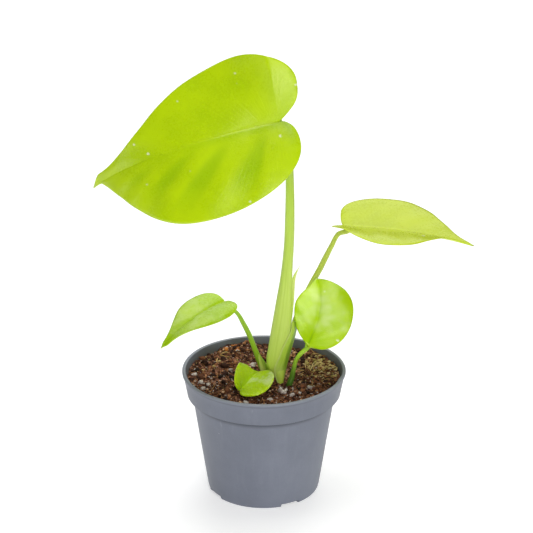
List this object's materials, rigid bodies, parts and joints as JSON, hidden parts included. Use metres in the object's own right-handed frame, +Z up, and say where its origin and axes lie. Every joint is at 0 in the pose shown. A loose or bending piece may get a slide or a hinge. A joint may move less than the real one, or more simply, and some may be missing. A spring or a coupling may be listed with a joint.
{
  "type": "potted golden monstera",
  "caption": "Young golden-leaved monstera with waxy heart-shaped leaves on slim stalks, growing in soil in a small round grey nursery pot.",
  "frame": {"origin": "middle of the pot's foot, on the plane that it stands on", "axes": "+Z up the pot's axis; -Y towards the viewer of the big leaf's upper face; +X to that viewer's right"},
  "size_m": [0.161, 0.0807, 0.2002],
  "materials": {
    "pot_plastic": "satin",
    "soil": "matte",
    "stalk": "satin",
    "leaf": "satin"
  },
  "bodies": {
    "root": {"pot": "pot_plastic", "soil": "soil", "leaf_1_petiole": "stalk", "leaf_2_petiole": "stalk", "leaf_3_petiole": "stalk", "leaf_4_petiole": "stalk", "leaf_5_petiole": "stalk", "spear": "stalk", "leaf_1_blade": "leaf", "leaf_2_blade": "leaf", "leaf_3_blade": "leaf", "leaf_4_blade": "leaf", "leaf_5_blade": "leaf"}
  },
  "joints": []
}
